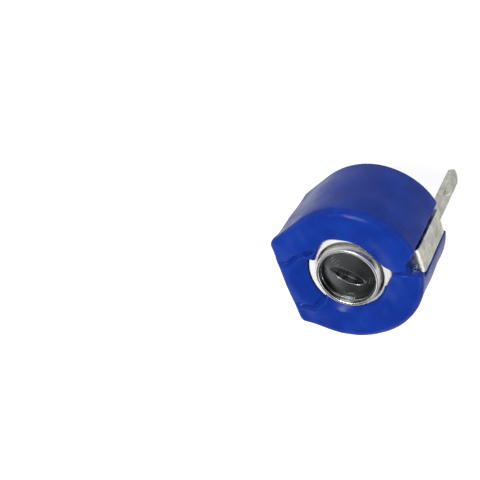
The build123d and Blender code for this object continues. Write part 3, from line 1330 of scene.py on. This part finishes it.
class Stack:
    """The pieces inside the case that keep their CAD shapes."""

    SLOTS: dict[str, Slot] = {
        "spring_washer": Slot.SPRING_STEEL,
        "rotor_plate": Slot.PLATED_BRASS,
    }

    def dress(self, nodes: dict[str, bpy.types.Object], finishes: FinishSet) -> None:
        """Gives each piece its material.

        Args:
            nodes: the CAD nodes by name.
            finishes: the built materials.
        """
        for name, slot in self.SLOTS.items():
            node = nodes[name]
            node.data.materials.clear()
            node.data.materials.append(finishes.of(slot))
            LOG.info("%s: CAD shape, %s", name, slot.value)


# ---------------------------------------------------------------- studio


@dataclass
class Lamp:
    """A soft rectangular lamp that faces the object."""

    name: str
    direction: tuple[float, float, float]
    size: float
    radiance: float
    distance: float = 70.0

    def build(self, target: Vector) -> None:
        """Places the lamp.

        Args:
            target: the point that it faces, in metres.
        """
        data = bpy.data.lights.new(self.name, "AREA")
        data.shape = "SQUARE"
        data.size = self.size * MM
        data.energy = self.radiance * math.pi * (self.size * MM) ** 2
        lamp = bpy.data.objects.new(self.name, data)
        bpy.context.scene.collection.objects.link(lamp)
        away = Vector(self.direction).normalized()
        lamp.location = target + away * self.distance * MM
        lamp.rotation_mode = "QUATERNION"
        lamp.rotation_quaternion = away.to_track_quat("Z", "Y")


@dataclass
class Studio:
    """The pale floor, the soft lamps, the world and the camera."""

    floor_level: float
    floor_half: float = 400.0
    floor_colour: Colour = (0.50, 0.50, 0.50)
    floor_glow: float = 0.72
    floor_mirrored: float = 0.25
    world_light: float = 0.60
    horizon_top: float = 0.25
    overhead_start: float = 0.60
    overhead_light: float = 0.10
    camera_place: tuple[float, float, float] = (15.2469, 16.8989, 31.6454)
    camera_right: tuple[float, float, float] = (0.8448, -0.3573, -0.3983)
    camera_up: tuple[float, float, float] = (0.1100, 0.8444, -0.5243)
    camera_lens: float = 68.6
    sensor: float = 36.0
    lamps: list[Lamp] = field(
        default_factory=lambda: [
            Lamp("key_lamp", (-0.02, 0.45, 0.89), 22.0, 17.0),
            Lamp("side_lamp", (0.9, -0.5, 0.35), 40.0, 1.5),
            Lamp("back_lamp", (-0.9, -0.4, 0.6), 40.0, 1.2),
        ]
    )

    def build(self) -> None:
        """Makes the studio."""
        target = Vector((0.0, 0.0, 1.5 * MM))
        for lamp in self.lamps:
            lamp.build(target)
        self.make_world()
        self.make_floor()
        self.make_camera()
        scene = bpy.context.scene
        scene.view_settings.view_transform = "Standard"

    def seen_or_reflected(self, tree: Tree) -> bpy.types.NodeSocket:
        """A mask that is 1 where the camera, a reflection or a see-through ray looks."""
        path = tree.add("ShaderNodeLightPath").outputs
        seen = tree.math("MAXIMUM", path["Is Camera Ray"], path["Is Glossy Ray"])
        return tree.math("MAXIMUM", seen, path["Is Transmission Ray"])

    def make_world(self) -> None:
        """Plain white surroundings, at full strength only where they are seen or reflected."""
        world = bpy.data.worlds.new("white_surroundings")
        world.use_nodes = True
        tree = Tree(world.node_tree)
        seen = self.seen_or_reflected(tree)
        camera = tree.add("ShaderNodeLightPath").outputs["Is Camera Ray"]
        direction = tree.add("ShaderNodeSeparateXYZ")
        tree.put(tree.add("ShaderNodeTexCoord").outputs["Generated"], direction.inputs[0])
        overhead = tree.ease(direction.outputs["Z"], self.horizon_top, self.overhead_start)
        overhead = tree.math("MULTIPLY", overhead, tree.math("SUBTRACT", 1.0, camera))
        shown = tree.math("SUBTRACT", 1.0, tree.math("MULTIPLY", overhead, 1.0 - self.overhead_light))
        gain = tree.math("MULTIPLY", seen, tree.math("SUBTRACT", shown, self.world_light))
        strength = tree.math("ADD", gain, self.world_light)
        background = tree.add("ShaderNodeBackground", {"Color": (1.0, 1.0, 1.0, 1.0), "Strength": strength})
        tree.add("ShaderNodeOutputWorld", {"Surface": background.outputs[0]})
        bpy.context.scene.world = world

    def make_floor(self) -> None:
        """A pale matt floor at the leads' tips, a little brighter where it is seen."""
        half = self.floor_half * MM
        level = self.floor_level * MM
        mesh = bpy.data.meshes.new("floor")
        corners = [(-half, -half, level), (half, -half, level), (half, half, level), (-half, half, level)]
        mesh.from_pydata(corners, [], [(0, 1, 2, 3)])
        floor = bpy.data.objects.new("floor", mesh)
        bpy.context.scene.collection.objects.link(floor)
        material = bpy.data.materials.new("pale_floor")
        material.use_nodes = True
        tree = Tree(material.node_tree)
        shader = tree.add(
            "ShaderNodeBsdfPrincipled", {"Base Color": (*self.floor_colour, 1.0), "Roughness": 0.9}
        )
        path = tree.add("ShaderNodeLightPath").outputs
        direct = tree.math("MAXIMUM", path["Is Camera Ray"], path["Is Transmission Ray"])
        mirrored = tree.math("MULTIPLY", path["Is Glossy Ray"], self.floor_mirrored)
        glow = tree.math("MULTIPLY", tree.math("MAXIMUM", direct, mirrored), self.floor_glow)
        light = tree.add("ShaderNodeEmission", {"Color": (1.0, 1.0, 1.0, 1.0), "Strength": glow})
        both = tree.add("ShaderNodeAddShader")
        tree.put(shader.outputs[0], both.inputs[0])
        tree.put(light.outputs[0], both.inputs[1])
        tree.add("ShaderNodeOutputMaterial", {"Surface": both.outputs[0]})
        mesh.materials.append(material)

    def make_camera(self) -> None:
        """A camera above the +X +Y side, rolled so that +Y is up and +X is to the right."""
        data = bpy.data.cameras.new("main_camera")
        data.sensor_width = self.sensor
        data.lens = self.camera_lens
        data.clip_start = 1.0 * MM
        data.clip_end = 2.0
        camera = bpy.data.objects.new("main_camera", data)
        bpy.context.scene.collection.objects.link(camera)
        right = Vector(self.camera_right).normalized()
        up = Vector(self.camera_up)
        up = (up - right * up.dot(right)).normalized()
        back = right.cross(up)
        turn = Matrix((right, up, back)).transposed()
        camera.rotation_mode = "QUATERNION"
        camera.rotation_quaternion = turn.to_quaternion()
        camera.location = Vector(self.camera_place) * MM
        bpy.context.scene.camera = camera


# ---------------------------------------------------------------- assembly


@dataclass(frozen=True)
class SheetStock:
    """The tinned sheet, and the places that both terminals are bent to."""

    thickness: float = 0.22
    jog_inset: float = 0.29
    jog_height: float = 0.30
    arm_reach: float = 1.99
    ring_outer: float = 1.85
    ring_inner: float = 0.90
    ring_join: float = 1.5
    tongue_width: float = 1.0
    arm_width: float = 0.80
    bore_clearance: float = 0.06


def corners(bounds: tuple[Vector, Vector]) -> list[list[float]]:
    """A box as two plain lists."""
    return [list(corner) for corner in bounds]


def main() -> None:
    """Loads the frame and builds the object and its studio around it."""
    logging.basicConfig(level=logging.INFO, format="%(name)s %(message)s")
    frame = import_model()
    nodes = frame["nodes"]
    case_low, case_high = (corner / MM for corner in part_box("case"))
    head_low, head_high = (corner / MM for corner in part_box("adjuster_head"))
    stator_low, stator_high = (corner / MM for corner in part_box("stator_terminal"))
    stock = SheetStock()
    half_sheet = 0.5 * stock.thickness
    lead_tip = stator_low.z
    Studio(floor_level=lead_tip).build()

    head = AdjusterHead(radius=head_high.x, top=head_high.z, bottom=head_low.z)
    finishes = FinishSet(head)
    case = CaseMoulding(
        radius=case_high.x, height=case_high.z, flat=-case_low.x, head_radius=head_high.x
    )
    case.build(finishes)
    head.build(finishes)

    strip_x = stator_high.x - half_sheet
    lead_x = strip_x - stock.jog_inset
    tongue_z = stator_high.z - half_sheet
    jog_z = stock.jog_height
    strips = StripTree()
    stator = Terminal(
        name="stator_strip",
        node="stator_terminal",
        side=Side.PLUS_X,
        path=[
            (stator_low.x, tongue_z),
            (strip_x, tongue_z),
            (strip_x, jog_z),
            (lead_x, jog_z),
            (lead_x, lead_tip),
        ],
        upper_width=stock.tongue_width,
        seed=1.0,
        lead_tip=lead_tip,
    )
    stator.build(strips, finishes)
    ring_z = case.floor_top + half_sheet
    rotor = Terminal(
        name="rotor_strip",
        node="rotor_terminal",
        side=Side.MINUS_X,
        path=[
            (-stock.ring_join, ring_z),
            (-stock.arm_reach, ring_z),
            (-stock.arm_reach, jog_z),
            (-lead_x, jog_z),
            (-lead_x, lead_tip),
        ],
        upper_width=stock.arm_width,
        seed=7.0,
        lead_tip=lead_tip,
        ring_radius=0.5 * (stock.ring_outer + stock.ring_inner),
        ring_width=stock.ring_outer - stock.ring_inner,
        ring_height=ring_z,
    )
    rotor.build(strips, finishes)
    disc_low, disc_high = (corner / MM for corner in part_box("stator_disc"))
    disc = CeramicDisc(
        low=disc_low,
        high=disc_high,
        bore=head_high.x + stock.bore_clearance,
        body_top=tongue_z - half_sheet,
        case=case,
    )
    disc.build(finishes)
    solder_low, solder_high = (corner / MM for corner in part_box("solder_joint"))
    SolderFillet(low=solder_low, high=solder_high, head_radius=head_high.x).build(finishes)
    Stack().dress(nodes, finishes)


if __name__ == "__main__":
    main()
